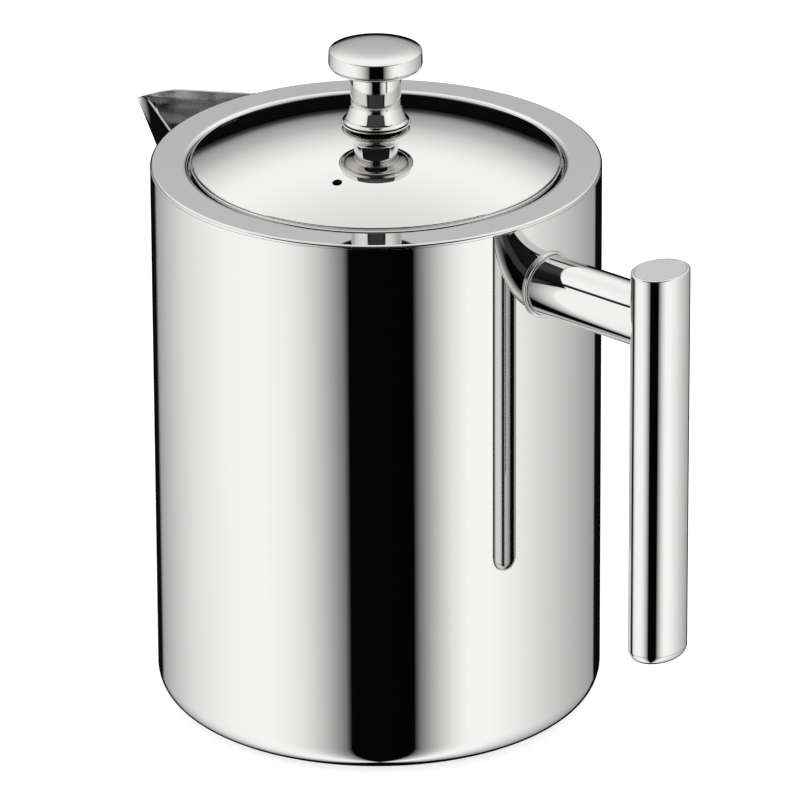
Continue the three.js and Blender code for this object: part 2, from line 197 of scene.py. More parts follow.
def add_room(tree):
    """The light that polished metal mirrors, worked out from the direction alone."""
    azimuth, elevation, slope, sine, cosine = add_directions(tree)
    sides = add_ramp(tree, azimuth, -180, 180, [
        (-180, 8), (-156, 12), (-151, 150), (-134, 186), (-111, 220), (-84, 240),
        (-60, 244), (-47, 236), (-38, 221), (-29, 192), (-21, 148), (-16.5, 112),
        (-14.5, 5), (18.5, 3), (21, 108), (24, 140), (30, 184), (38, 222), (47, 243),
        (60, 245), (77, 231), (101, 204), (128, 172), (149, 144), (151, 10),
        (180, 8),
    ])
    overhead = add_ramp(tree, elevation, LOWEST_ELEVATION, HIGHEST_ELEVATION, [
        (-10, 243), (50, 243), (60, 226), (75, 212), (90, 210),
    ])
    behind = add_ramp(tree, elevation, LOWEST_ELEVATION, HIGHEST_ELEVATION, [
        (-10, 3), (8, 3), (11, 60), (14, 140), (17, 160), (21, 176), (25, 200),
        (30, 220), (36, 238), (44, 243), (52, 236), (60, 226), (75, 212), (90, 210),
    ])
    panel_top = add_math(tree, "MULTIPLY", sine, SIDE_PANEL_TOP)
    overhead_edge = add_math(
        tree, "MAXIMUM",
        add_math(tree, "MULTIPLY", sine, OVERHEAD_SIDE),
        add_math(tree, "MULTIPLY", cosine, OVERHEAD_FRONT))
    above_camera = add_ramp(tree, elevation, LOWEST_ELEVATION, HIGHEST_ELEVATION, [
        (-10, 4), (6, 8), (28, 16), (48, 34), (62, 105), (90, 150),
    ])
    card_foot = add_step(tree, elevation, *CARD_FOOT)
    card_top = add_step(tree, elevation, *CARD_TOP)
    card_side = add_step(tree, cosine, *CARD_SIDE)
    card = add_math(tree, "MULTIPLY", add_math(tree, "SUBTRACT", card_foot, card_top), card_side)
    above_camera = add_blend(tree, card, above_camera, brightness(CARD_LEVEL))
    facing = add_step(tree, cosine, *FRONT_SIDE)
    gap = add_blend(tree, facing, brightness(GAP_LEVEL), above_camera)
    past_camera = add_step(tree, elevation, *CAMERA_FOOT)
    unlit_camera = add_blend(tree, past_camera, sides, above_camera)
    by_camera = add_step(tree, cosine, *CAMERA_SIDE)
    sides = add_blend(tree, by_camera, sides, unlit_camera)
    past_panel = add_step(tree, add_math(tree, "SUBTRACT", slope, panel_top), *PANEL_EDGE)
    past_gap = add_step(tree, add_math(tree, "SUBTRACT", slope, overhead_edge), *OVERHEAD_EDGE)
    front = add_blend(tree, past_panel, sides, gap)
    front = add_blend(tree, past_gap, front, overhead)
    rear = add_blend(tree, add_step(tree, elevation, *REAR_FOOT), sides, behind)
    return add_blend(tree, add_step(tree, cosine, *REAR_SIDE), front, rear)


def add_studio():
    """A world that metal mirrors as the room, and everything else sees as plain white."""
    world = bpy.data.worlds.new("studio")
    bpy.context.scene.world = world
    world.cycles.sampling_method = "NONE"
    world.use_nodes = True
    tree = world.node_tree
    tree.nodes.clear()
    path = tree.nodes.new("ShaderNodeLightPath")
    plain = add_math(
        tree, "MAXIMUM", path.outputs["Is Camera Ray"], path.outputs["Is Diffuse Ray"])
    background = tree.nodes.new("ShaderNodeBackground")
    background.inputs["Color"].default_value = (1, 1, 1, 1)
    light = add_blend(tree, plain, add_room(tree), 1)
    tree.links.new(light, background.inputs["Strength"])
    output = tree.nodes.new("ShaderNodeOutputWorld")
    tree.links.new(background.outputs[0], output.inputs[0])


def new_material(name):
    """A new material, its node tree and its Principled shader."""
    material = bpy.data.materials.new(name)
    material.use_nodes = True
    tree = material.node_tree
    return material, tree, tree.nodes["Principled BSDF"]


def add_floor():
    """A pale matte floor that shows only a faint shadow; polished metal doesn't mirror it."""
    size = 6
    below = -0.2 * MM
    mesh = bpy.data.meshes.new("floor")
    corners = [
        (-size, -size, below), (size, -size, below), (size, size, below), (-size, size, below)]
    mesh.from_pydata(corners, [], [(0, 1, 2, 3)])
    floor = bpy.data.objects.new("floor", mesh)
    bpy.context.scene.collection.objects.link(floor)
    floor.visible_glossy = False
    material, _, shader = new_material("floor")
    shader.inputs["Base Color"].default_value = (0.9, 0.9, 0.9, 1)
    shader.inputs["Roughness"].default_value = 1
    shader.inputs["Specular IOR Level"].default_value = 0
    shader.inputs["Emission Color"].default_value = (1, 1, 1, 1)
    shader.inputs["Emission Strength"].default_value = 0.45
    mesh.materials.append(material)


add_studio()
add_floor()
bpy.context.scene.view_settings.view_transform = "Standard"
bpy.context.scene.view_settings.look = "None"


# ---------------------------------------------------------------- outer shell
# The drum is rolled and welded from stainless sheet, its bottom corner drawn round,
# and the outside is buffed to a mirror. The pour port is cut through behind the spout.

wall = 1.0 * MM
bottom_corner = 7.1 * MM
foot_inner_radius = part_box("base_plate")[1].y + 0.1 * MM
around_steps = 288


def filleted(corners, closed=True, support=0.12 * MM):
    """Profile points (radius, height) through corners (radius, height, rounding).

    Each corner is rounded by an arc that touches both straight sides, and has one
    more point just beyond each end of the arc, so that flat stretches shade flat.
    """
    rows = []
    count = len(corners)
    for i, (radius, height, rounding) in enumerate(corners):
        corner = np.array((radius, height))
        if rounding == 0 or (not closed and i in (0, count - 1)):
            rows.append(corner[None])
            continue
        before = np.array(corners[i - 1][:2]) - corner
        after = np.array(corners[(i + 1) % count][:2]) - corner
        before /= np.linalg.norm(before)
        after /= np.linalg.norm(after)
        inside = math.acos(np.clip(before @ after, -1, 1))
        reach = rounding / math.tan(inside / 2)
        bisector = (before + after) / np.linalg.norm(before + after)
        centre = corner + bisector * rounding / math.sin(inside / 2)
        start = corner + before * reach - centre
        end = corner + after * reach - centre
        turn = math.pi - inside
        steps = max(3, round(math.degrees(turn) / 7.5))
        share = np.linspace(0, 1, steps + 1)[:, None]
        arc = (np.sin((1 - share) * turn) * start + np.sin(share * turn) * end) / math.sin(turn)
        rows += [(centre + start + before * support)[None], centre + arc]
        rows.append((centre + end + after * support)[None])
    return np.vstack(rows)


def grid_faces(rows, columns, close_rows, first=0):
    """Quads of a grid of points; each row closes on itself, and so may the columns."""
    i = np.arange(rows if close_rows else rows - 1)[:, None]
    j = np.arange(columns)[None]
    below = i * columns
    above = ((i + 1) % rows) * columns
    right = (j + 1) % columns
    quads = np.stack((below + j, below + right, above + right, above + j), -1)
    return (quads.reshape(-1, 4) + first).tolist()


def revolve(profile, steps=around_steps):
    """Vertices and faces of a profile (radius, height) turned about the Z axis.

    A profile that starts and ends on the axis gets one vertex at each pole; any other
    closes on itself. It runs anticlockwise, with the radius to the right.
    """
    poles = profile[0][0] < 1e-9
    body = profile[1:-1] if poles else profile
    angle = np.linspace(0, 2 * math.pi, steps, endpoint=False)
    ring = np.stack((np.cos(angle), np.sin(angle)), -1)
    verts = np.empty((len(body), steps, 3))
    verts[..., :2] = body[:, None, :1] * ring
    verts[..., 2] = body[:, 1:]
    verts = verts.reshape(-1, 3)
    faces = grid_faces(len(body), steps, not poles)
    if poles:
        low, high = len(verts), len(verts) + 1
        verts = np.vstack((verts, (0, 0, profile[0][1]), (0, 0, profile[-1][1])))
        last = (len(body) - 1) * steps
        faces += [(low, (j + 1) % steps, j) for j in range(steps)]
        faces += [(high, last + j, last + (j + 1) % steps) for j in range(steps)]
    return verts, faces


def make_piece(name, shape, material, body, slot, *nodes, sharp=40):
    """A smooth-shaded mesh that rides on a body and stands for CAD nodes."""
    verts, faces = shape
    mesh = bpy.data.meshes.new(name)
    mesh.from_pydata(np.asarray(verts).tolist(), [], faces)
    mesh.polygons.foreach_set("use_smooth", np.ones(len(mesh.polygons), bool))
    mesh.set_sharp_from_angle(angle=math.radians(sharp))
    mesh.materials.append(material)
    mesh.validate()
    piece = bpy.data.objects.new(name, mesh)
    bpy.context.scene.collection.objects.link(piece)
    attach(piece, body)
    if nodes:
        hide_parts(*nodes)
    return piece


def new_group(name, inputs, outputs):
    """An empty shader group; inputs are (name, default), outputs are (name, socket type)."""
    group = bpy.data.node_groups.new(name, "ShaderNodeTree")
    for label, default in inputs:
        socket = group.interface.new_socket(
            label, in_out="INPUT", socket_type="NodeSocketFloat")
        socket.default_value = default
    for label, kind in outputs:
        group.interface.new_socket(label, in_out="OUTPUT", socket_type=kind)
    entry = group.nodes.new("NodeGroupInput")
    leave = group.nodes.new("NodeGroupOutput")
    return group, entry, leave


def buffing_group():
    """Faint cloudy haze and fine wheel marks, as roughness and height over the surface."""
    group, entry, leave = new_group(
        "buffing",
        [("Roughness", 0.03), ("Haze", 0.02), ("Cloud Size", 60), ("Mark Size", 900)],
        [("Roughness", "NodeSocketFloat"), ("Height", "NodeSocketFloat")],
    )
    place = group.nodes.new("ShaderNodeTexCoord")
    clouds = group.nodes.new("ShaderNodeTexNoise")
    clouds.inputs["Detail"].default_value = 3
    group.links.new(place.outputs["Object"], clouds.inputs["Vector"])
    group.links.new(entry.outputs["Cloud Size"], clouds.inputs["Scale"])
    stretch = group.nodes.new("ShaderNodeMapping")
    stretch.inputs["Scale"].default_value = (0.12, 0.12, 1)
    group.links.new(place.outputs["Object"], stretch.inputs["Vector"])
    marks = group.nodes.new("ShaderNodeTexNoise")
    marks.inputs["Detail"].default_value = 2
    group.links.new(stretch.outputs[0], marks.inputs["Vector"])
    group.links.new(entry.outputs["Mark Size"], marks.inputs["Scale"])
    haze = add_math(group, "MULTIPLY", clouds.outputs["Fac"], entry.outputs["Haze"])
    rough = add_math(group, "ADD", entry.outputs["Roughness"], haze)
    group.links.new(rough, leave.inputs["Roughness"])
    group.links.new(marks.outputs["Fac"], leave.inputs["Height"])
    return group


buffing = buffing_group()


def steel(name, colour, roughness, haze, mark_size, mark_depth):
    """Bare stainless steel with a finish from mirror to satin."""
    material, tree, shader = new_material(name)
    shader.inputs["Base Color"].default_value = (*colour, 1)
    shader.inputs["Metallic"].default_value = 1
    finish = tree.nodes.new("ShaderNodeGroup")
    finish.node_tree = buffing
    finish.inputs["Roughness"].default_value = roughness
    finish.inputs["Haze"].default_value = haze
    finish.inputs["Mark Size"].default_value = mark_size
    bump = tree.nodes.new("ShaderNodeBump")
    bump.inputs["Distance"].default_value = mark_depth
    bump.inputs["Strength"].default_value = 1
    tree.links.new(finish.outputs["Height"], bump.inputs["Height"])
    tree.links.new(finish.outputs["Roughness"], shader.inputs["Roughness"])
    tree.links.new(bump.outputs[0], shader.inputs["Normal"])
    return material


mirror_steel = steel(
    "mirror_steel", colour=(0.7, 0.696, 0.69), roughness=0.02, haze=0.02, mark_size=500,
    mark_depth=0.0005 * MM)

shell_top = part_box("outer_shell")[1].z + 0.28 * MM
shell_profile = filleted([
    (foot_inner_radius, 0, 0.3 * MM),
    (body_radius, 0, bottom_corner),
    (body_radius, shell_top, 0.02 * MM),
    (body_radius - wall, shell_top, 0.02 * MM),
    (body_radius - wall, wall, bottom_corner - wall),
    (foot_inner_radius, wall, 0.3 * MM),
])
outer_shell = make_piece(
    "polished_drum", revolve(shell_profile), mirror_steel, "vessel", "polished_steel", "outer_shell")


# ---------------------------------------------------------------- rim
# A pressed ring joins the two walls. Its flat top is polished, the outer edge is
# broken by a small radius, and the inner edge rolls down into the neck.

neck_radius = 49.0 * MM
rim_edge = 0.8 * MM
rim_roll = 1.6 * MM

rim_profile = filleted([
    (body_radius, rim_top - wall + 0.02 * MM, 0.02 * MM),
    (body_radius, rim_top, rim_edge),
    (neck_radius, rim_top, rim_roll),
    (neck_radius, rim_low.z, 0.1 * MM),
    (neck_radius + wall, rim_low.z, 0.1 * MM),
    (neck_radius + wall, rim_top - wall, rim_roll - wall),
    (body_radius - wall, rim_top - wall, 0.02 * MM),
])
make_piece("rim", revolve(rim_profile), mirror_steel, "vessel", "polished_steel", "rim_ring")


# ---------------------------------------------------------------- inner liner
# The inner cup is deep-drawn from one sheet with a satin inside. Its mouth turns
# outwards into the flat seat that the lid stands on.

satin_steel = steel(
    "satin_steel", colour=(0.6, 0.598, 0.592), roughness=0.3, haze=0.08, mark_size=1400,
    mark_depth=0.004 * MM)

liner_low, liner_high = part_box("inner_liner")
bore_radius = 47.4 * MM
liner_corner = 6 * MM
seat_outer = liner_high.y
liner_profile = filleted([
    (0, liner_low.z, 0),
    (bore_radius + wall, liner_low.z, liner_corner + wall),
    (bore_radius + wall, liner_high.z - wall, 0.4 * MM),
    (seat_outer, liner_high.z - wall, 0.3 * MM),
    (seat_outer, liner_high.z, 0.3 * MM),
    (bore_radius, liner_high.z, 0.5 * MM),
    (bore_radius, liner_low.z + wall, liner_corner),
    (0, liner_low.z + wall, 0),
], closed=False)
inner_liner = make_piece(
    "inner_cup", revolve(liner_profile), satin_steel, "vessel", "satin_steel", "inner_liner")


# ---------------------------------------------------------------- pour port
# A rounded square hole is cut through both walls behind the spout, and a short sleeve
# is welded between them so that no coffee runs into the hollow wall.

sleeve_low, sleeve_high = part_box("port_collar")
sleeve_wall = 0.8 * MM
port_half = sleeve_high.y - sleeve_wall
port_height = (sleeve_low.z + sleeve_high.z) / 2
port_corner = 4 * MM


def rounded_square(half, corner, steps=12):
    """Y and Z of a square's outline with round corners, anticlockwise."""
    rows = []
    for quarter, (side_y, side_z) in enumerate(((1, 1), (-1, 1), (-1, -1), (1, -1))):
        turn = math.pi / 2 * (quarter + np.linspace(0, 1, steps))
        rows.append(np.stack((side_y * (half - corner) + corner * np.cos(turn),
                              side_z * (half - corner) + corner * np.sin(turn)), -1))
    return np.vstack(rows)


def cut_through(piece, rows):
    """Cuts a closed shape, given as rings of points from one end to the other, from a piece."""
    count = len(rows[0])
    faces = grid_faces(len(rows), count, False)
    faces.append(tuple(range(count))[::-1])
    faces.append(tuple(range((len(rows) - 1) * count, len(rows) * count)))
    mesh = bpy.data.meshes.new("cutter")
    mesh.from_pydata(np.concatenate(rows).tolist(), [], faces)
    surface = bmesh.new()
    surface.from_mesh(mesh)
    bmesh.ops.recalc_face_normals(surface, faces=surface.faces)
    surface.to_mesh(mesh)
    surface.free()
    cutter = bpy.data.objects.new("cutter", mesh)
    bpy.context.scene.collection.objects.link(cutter)
    modifier = piece.modifiers.new("cut", "BOOLEAN")
    modifier.operation = "DIFFERENCE"
    modifier.solver = "EXACT"
    modifier.object = cutter
    evaluated = piece.evaluated_get(bpy.context.evaluated_depsgraph_get())
    piece.data = bpy.data.meshes.new_from_object(evaluated)
    piece.modifiers.clear()
    piece.data.set_sharp_from_angle(angle=math.radians(40))
    bpy.data.objects.remove(cutter)


port_outline = rounded_square(port_half, port_corner)
port_rows = [
    np.column_stack((np.full(len(port_outline), x), port_outline[:, 0],
                     port_outline[:, 1] + port_height))
    for x in (-body_radius - 5 * MM, -bore_radius + 10 * MM)
]
cut_through(outer_shell, port_rows)
cut_through(inner_liner, port_rows)


def sleeve():
    """A rounded square tube along X whose ends follow the two round walls.

    x at an end is minus the root of the wall's radius squared less y squared.
    """
    rings = []
    liner_side = bore_radius + wall + 0.1 * MM
    shell_side = body_radius - wall - 0.1 * MM
    for half, ends in ((port_half + sleeve_wall, (liner_side, shell_side)),
                       (port_half, (shell_side, liner_side))):
        outline = rounded_square(half, port_corner + half - port_half)
        for radius in ends:
            x = -np.sqrt(radius ** 2 - outline[:, 0] ** 2)
            rings.append(np.column_stack((x, outline[:, 0], outline[:, 1] + port_height)))
    return np.concatenate(rings), grid_faces(len(rings), len(rings[0]), True)


make_piece("port_sleeve", sleeve(), satin_steel, "vessel", "satin_steel", "port_collar")


# ---------------------------------------------------------------- base
# A flat steel disc closes the double wall underneath and stands on the table. Two
# shallow grooves spun into it keep it stiff.

base_low, base_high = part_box("base_plate")
base_radius = base_high.y
groove = 0.35 * MM
inner_groove, outer_groove = 18.6 * MM, 38.6 * MM
groove_half = 0.6 * MM
base_profile = filleted([
    (0, base_low.z, 0),
    (inner_groove - groove_half, base_low.z, 0.1 * MM),
    (inner_groove, base_low.z + groove, 0.1 * MM),
    (inner_groove + groove_half, base_low.z, 0.1 * MM),
    (outer_groove - groove_half, base_low.z, 0.1 * MM),
    (outer_groove, base_low.z + groove, 0.1 * MM),
    (outer_groove + groove_half, base_low.z, 0.1 * MM),
    (base_radius, base_low.z, 0.2 * MM),
    (base_radius, base_high.z, 0.2 * MM),
    (0, base_high.z, 0),
], closed=False)
make_piece("base_disc", revolve(base_profile), satin_steel, "vessel", "satin_steel", "base_plate")


# ---------------------------------------------------------------- spout
# The beak is folded from sheet into a V that narrows in straight lines to the tip,
# with a rounded keel, and is welded to the drum over the pour port.

spout_tip = -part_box("spout")[0].x
spout_half_width = 16.7 * MM
spout_reach = spout_tip - body_radius
lip_root = rim_top - 1.1 * MM
tip_droop = 3.2 * MM
droop_length = 10.6 * MM
keel_depth = 47.1 * MM
keel_roundness = 1.5
tip_half_width = 0.9 * MM
root_overlap = 0.3 * MM
lip_roundness = 0.25 * MM


def lip_height(distance):
    """Lip height, level near the drum and falling in a parabola towards the tip."""
    droop = np.maximum(0, (distance - (spout_tip - droop_length)) / droop_length)
    return lip_root - tip_droop * droop ** 2


def beak_surface(along, across, thickness):
    """Points of the beak's outside, or of its inside when it has a thickness.

    along runs from 0 at the drum to 1 at the tip, across from -1 to 1 between the lips.
    Half the width shrinks in a straight line to the tip, and the depth below the lip is
    1 - |across| to a power, which rounds the keel. The root lies on the drum's circle, and
    its x and the width there are worked out from each other until they settle.
    """
    side_slope = spout_half_width / spout_reach
    tip_height = lip_root - tip_droop
    keel_slope = (tip_height - (rim_top - keel_depth)) / spout_reach
    tip = spout_tip - thickness / side_slope
    narrowest = tip_half_width if thickness == 0 else tip_half_width / 2
    root = np.full_like(across, body_radius)
    rounds = 6
    for _ in range(rounds):
        half = (spout_tip - root) * side_slope - thickness
        root = np.sqrt((body_radius - root_overlap) ** 2 - (half * across) ** 2)
    distance = root + (tip - root) * along
    half = np.maximum(narrowest, (spout_tip - distance) * side_slope - thickness)
    lip = lip_height(distance)
    lift = thickness * math.hypot(1, keel_slope)
    keel = tip_height - (spout_tip - distance) * keel_slope + lift - wall
    keel = np.minimum(keel, lip - wall)
    depth = 1 - np.abs(across) ** keel_roundness
    return np.stack((-distance, half * across, lip - (lip - keel) * depth), -1)


beak_rows = 61
beak_points = 81


def beak():
    """Outside and inside of the beak joined round the lips, each ring a section."""
    along = np.linspace(0, 1, beak_rows)[:, None]
    across = np.sin(np.linspace(-math.pi / 2, math.pi / 2, beak_points))[None]
    along, across = np.broadcast_arrays(along, across)
    outside = beak_surface(along, across, 0)
    inside = beak_surface(along, across, wall)[:, ::-1]
    raised = np.array((0, 0, lip_roundness))
    far_lip = (outside[:, -1:] + inside[:, :1]) / 2 + raised
    near_lip = (outside[:, :1] + inside[:, -1:]) / 2 + raised
    rings = np.concatenate((outside, far_lip, inside, near_lip), 1)
    rows, columns = rings.shape[:2]
    verts = rings.reshape(-1, 3)
    faces = grid_faces(rows, columns, False)
    half = across.shape[1]
    ends = []
    for row in (0, rows - 1):
        first = row * columns
        pair = np.arange(half - 1)
        outer, outer_next = first + pair, first + pair + 1
        inner = first + 2 * half - pair
        inner_next = inner - 1
        strip = np.stack((outer, outer_next, inner_next, inner), -1).tolist()
        ends += strip if row == 0 else [quad[::-1] for quad in strip]
        middle = [first + half - 1, first + half, first + half + 1]
        closing = [first + 2 * half, first + 2 * half + 1, first]
        ends += [middle, closing] if row == 0 else [middle[::-1], closing[::-1]]
    return verts, faces + ends


beak_spout = make_piece(
    "beak_spout", beak(), mirror_steel, "vessel", "polished_steel", "spout", sharp=35)

# The wheel doesn't reach inside the beak, so that face keeps the sheet's darker finish.
sheet_steel = steel(
    "sheet_steel", colour=(0.5, 0.5, 0.51), roughness=0.05, haze=0.08, mark_size=110,
    mark_depth=0.8 * MM)
beak_spout.data.materials.append(sheet_steel)
beak_columns = 2 * beak_points + 2
face_column = np.arange(len(beak_spout.data.polygons)) % beak_columns
face_row = np.arange(len(beak_spout.data.polygons)) // beak_columns
inside_face = (face_column > beak_points) & (face_column < 2 * beak_points)
inside_face &= face_row < beak_rows - 1
beak_spout.data.polygons.foreach_set("material_index", inside_face.astype(np.int32))


# ---------------------------------------------------------------- handle arm
# A round steel tube stands straight out from the drum and ends against the grip.
# A thin weld bead, ground to a ring, closes the joint on the drum.

arm_low, arm_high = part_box("handle_arm")
arm_radius = (arm_high.z - arm_low.z) / 2
arm_height = (arm_high.z + arm_low.z) / 2
grip_low, grip_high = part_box("handle_grip")
grip_distance = (grip_low.x + grip_high.x) / 2
grip_half_depth = (grip_high.x - grip_low.x) / 2
grip_half_width = grip_high.y
arm_overlap = 0.1 * MM


def tube_between(start, end, radii, height, sides=144, lengthways=12):
    """A tube along X between two curved ends. start and end give x from y.

    Rings of the outside run from start to end and those of the inside run back.
    """
    angle = np.linspace(0, 2 * math.pi, sides, endpoint=False)
    rings = []
    for radius, shares in zip(radii, (np.linspace(0, 1, lengthways), np.linspace(1, 0, 3))):
        y = radius * np.cos(angle)
        z = height + radius * np.sin(angle)
        for share in shares:
            x = start(y) + (end(y) - start(y)) * share
            rings.append(np.stack((x, y, z), -1))
    verts = np.concatenate(rings)
    return verts, grid_faces(len(rings), sides, True)


def drum_side(y):
    """x on the drum's circle at this y, a little inside its surface."""
    return np.sqrt((body_radius - arm_overlap) ** 2 - y ** 2)


def grip_side(y):
    """x on the near side of the grip's ellipse at this y, a little inside its surface."""
    return grip_distance - grip_half_depth * np.sqrt(1 - (y / grip_half_width) ** 2) + arm_overlap


arm_wall = 1.5 * MM
make_piece(
    "arm_tube",
    tube_between(drum_side, grip_side, (arm_radius, arm_radius - arm_wall), arm_height),
    mirror_steel, "vessel", "polished_steel", "handle_arm")

bead_half = 0.5 * MM
bead_gap = 0.45 * MM
bead_stand = 0.75
bead_steps, bead_sides = 144, 16


def weld_bead():
    """A ring of round section that follows the drum's curve round the arm's foot."""
    angle = np.linspace(0, 2 * math.pi, bead_steps, endpoint=False)[:, None]
    section = np.linspace(0, 2 * math.pi, bead_sides, endpoint=False)[None]
    radius = arm_radius + bead_gap + bead_half * np.cos(section)
    y = radius * np.cos(angle)
    z = arm_height + radius * np.sin(angle)
    x = drum_side(y) + bead_half * (bead_stand + np.sin(section))
    verts = np.stack((x, y, z), -1).reshape(-1, 3)
    return verts, [face[::-1] for face in grid_faces(bead_steps, bead_sides, True)]


make_piece("weld_bead", weld_bead(), mirror_steel, "vessel", "polished_steel", "handle_collar")


# ---------------------------------------------------------------- backing plate
# A pressed steel plate lies against the drum's wall on the inside, hidden between the
# two walls, and the arm is welded through to it. The CAD solid has its true shape.

backing_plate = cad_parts["handle_backing_plate"]
for material_slot in backing_plate.material_slots:
    material_slot.material = satin_steel


# ---------------------------------------------------------------- grip
# An upright oval tube, closed at the top by a flat satin disc set flush in the tube,
# and at the bottom by a pressed cap with a rounded edge.

def oval(shape):
    """Stretches a turned shape along Y into the grip's oval, the wall left even."""
    verts, faces = shape
    radius = np.hypot(verts[:, 0], verts[:, 1])
    wider = grip_half_width - grip_half_depth
    stretch = np.where(radius > 1e-9, (radius + wider) / np.maximum(radius, 1e-9), 1)
    verts = verts * np.stack((np.ones_like(stretch), stretch, np.ones_like(stretch)), -1)
    verts[:, 0] += grip_distance
    return verts, faces


grip_wall = 1.0 * MM
grip_steps = 144
end_low, end_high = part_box("grip_end_cap")
seam = 0.02 * MM
grip_profile = filleted([
    (grip_half_depth - grip_wall, end_high.z + seam, seam),
    (grip_half_depth, end_high.z + seam, seam),
    (grip_half_depth, grip_high.z, 0.45 * MM),
    (grip_half_depth - grip_wall, grip_high.z, 0.1 * MM),
])
make_piece(
    "grip_tube", oval(revolve(grip_profile, grip_steps)), mirror_steel,
    "vessel", "polished_steel", "handle_grip")

cap_radius = grip_half_depth - grip_wall - seam
cap_top = grip_high.z - 0.03 * MM
top_cap_profile = filleted([
    (0, grip_high.z - wall, 0),
    (cap_radius, grip_high.z - wall, 0.1 * MM),
    (cap_radius, cap_top, 0.08 * MM),
    (0, cap_top, 0),
], closed=False)
# The top disc's finer satin is its own finish; its colour, lighter than the other satin steel, is
# painted light from overhead on this upward face.
lit_fine_satin = steel(
    "lit_fine_satin", colour=(0.74, 0.738, 0.73), roughness=0.26, haze=0.06, mark_size=2500,
    mark_depth=0.002 * MM)
make_piece(
    "grip_top_disc", oval(revolve(top_cap_profile, grip_steps)), lit_fine_satin,
    "vessel", "satin_steel", "grip_top_cap")

end_profile = filleted([
    (0, end_low.z, 0),
    (grip_half_depth, end_low.z, end_high.z - end_low.z - seam),
    (grip_half_depth, end_high.z, seam),
    (0, end_high.z, 0),
], closed=False)
make_piece(
    "grip_end", oval(revolve(end_profile, grip_steps)), mirror_steel,
    "vessel", "polished_steel", "grip_end_cap")


# ---------------------------------------------------------------- lid dome
# A shallow dome pressed from sheet and polished, with a small drilled vent and a
# middle hole for the rod's bush.

dome_low, dome_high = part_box("lid_dome")
dome_edge_radius = dome_high.y
dome_thickness = 0.8 * MM
dome_rise = 10.3 * MM
dome_edge_rise = 0.4 * MM
bush_hole = 4.3 * MM
dome_depth = dome_rise - dome_edge_rise
dome_sphere = (dome_edge_radius ** 2 + dome_depth ** 2) / (2 * dome_depth)
dome_centre = rim_top + dome_rise - dome_sphere


def dome_height(radius):
    """Height of the dome's upper face at a radius, on its sphere."""
    return dome_centre + np.sqrt(dome_sphere ** 2 - radius ** 2)


dome_edge = 0.25 * MM
outwards = np.linspace(bush_hole, dome_edge_radius - dome_edge, 41)
upper = np.stack((outwards, dome_height(outwards)), -1)
lower = upper - (0, dome_thickness)
rounding = np.linspace(-math.pi / 2, math.pi / 2, 7)[1:-1]
edge_middle = upper[-1] - (0, dome_thickness / 2)
edge = edge_middle + np.stack(
    (dome_edge * np.cos(rounding), dome_thickness / 2 * np.sin(rounding)), -1)
dome_profile = np.vstack((lower, edge, upper[::-1]))
lid_dome = make_piece(
    "domed_lid", revolve(dome_profile), mirror_steel, "lid", "polished_steel", "lid_dome")

vent_angle = math.radians(-66.5)
vent_distance = 31.9 * MM
vent_radius = 1.3 * MM
drill_overrun = 5 * MM
around_vent = np.linspace(0, 2 * math.pi, 48, endpoint=False)
vent_rows = [
    np.column_stack((
        vent_distance * math.cos(vent_angle) + vent_radius * np.cos(around_vent),
        vent_distance * math.sin(vent_angle) + vent_radius * np.sin(around_vent),
        np.full(len(around_vent), z),
    ))
    for z in (dome_low.z - drill_overrun, dome_high.z + drill_overrun)
]
cut_through(lid_dome, vent_rows)


def smooth_dome(mesh):
    """Gives the dome's two faces the sphere's own normals, so the drilled hole leaves no dent."""
    centre = Vector((0, 0, dome_centre))
    normals = []
    for face in mesh.polygons:
        outward = (face.center - centre).normalized()
        along = face.normal.dot(outward)
        for index in face.vertices:
            true_normal = (mesh.vertices[index].co - centre).normalized()
            curved = abs(along) > 0.95
            normals.append(true_normal * math.copysign(1, along) if curved else face.normal)
    mesh.normals_split_custom_set([tuple(normal) for normal in normals])


smooth_dome(lid_dome.data)


# ---------------------------------------------------------------- lid skirt
# A turned ring: its lip frames the dome, its step stands on the neck's seat, and its
# skirt carries the seal's groove.

skirt_low, skirt_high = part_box("lid_skirt")
lip_radius = skirt_high.y
lip_inner = lip_radius - 0.45 * MM
skirt_radius = 46.9 * MM
skirt_inner = skirt_radius - 2.1 * MM
seat_height = liner_high.z + 0.3 * MM
seal_low, seal_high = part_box("lid_seal")
groove_radius = 45.9 * MM
seal_room = 0.3 * MM
small = 0.15 * MM
ledge = dome_low.z - 0.3 * MM
skirt_profile = filleted([
    (skirt_inner, skirt_low.z, small),
    (skirt_radius, skirt_low.z, small),
    (skirt_radius, seal_low.z - seal_room, small),
    (groove_radius, seal_low.z - seal_room, small),
    (groove_radius, seal_high.z + seal_room, small),
    (skirt_radius, seal_high.z + seal_room, small),
    (skirt_radius, seat_height, small),
    (lip_radius, seat_height, small),
    (lip_radius, skirt_high.z, small),
    (lip_inner, skirt_high.z, small),
    (lip_inner, ledge, small),
    (skirt_inner, ledge, small),
])
make_piece("lid_ring", revolve(skirt_profile), mirror_steel, "lid", "polished_steel", "lid_skirt")


# ---------------------------------------------------------------- lid seal
# A moulded ring of dark silicone with three soft ribs, stretched into the skirt's
# groove. Its ribs rub on the inside of the cup.

def silicone():
    """Matte silicone rubber with a fine moulded grain."""
    material, tree, shader = new_material("silicone")
    shader.inputs["Base Color"].default_value = (0.02, 0.02, 0.021, 1)
    shader.inputs["Roughness"].default_value = 0.6
    place = tree.nodes.new("ShaderNodeTexCoord")
    grain = tree.nodes.new("ShaderNodeTexNoise")
    grain.inputs["Scale"].default_value = 4000
    tree.links.new(place.outputs["Object"], grain.inputs["Vector"])
    bump = tree.nodes.new("ShaderNodeBump")
    bump.inputs["Distance"].default_value = 0.00001
    tree.links.new(grain.outputs["Fac"], bump.inputs["Height"])
    tree.links.new(bump.outputs[0], shader.inputs["Normal"])
    return material


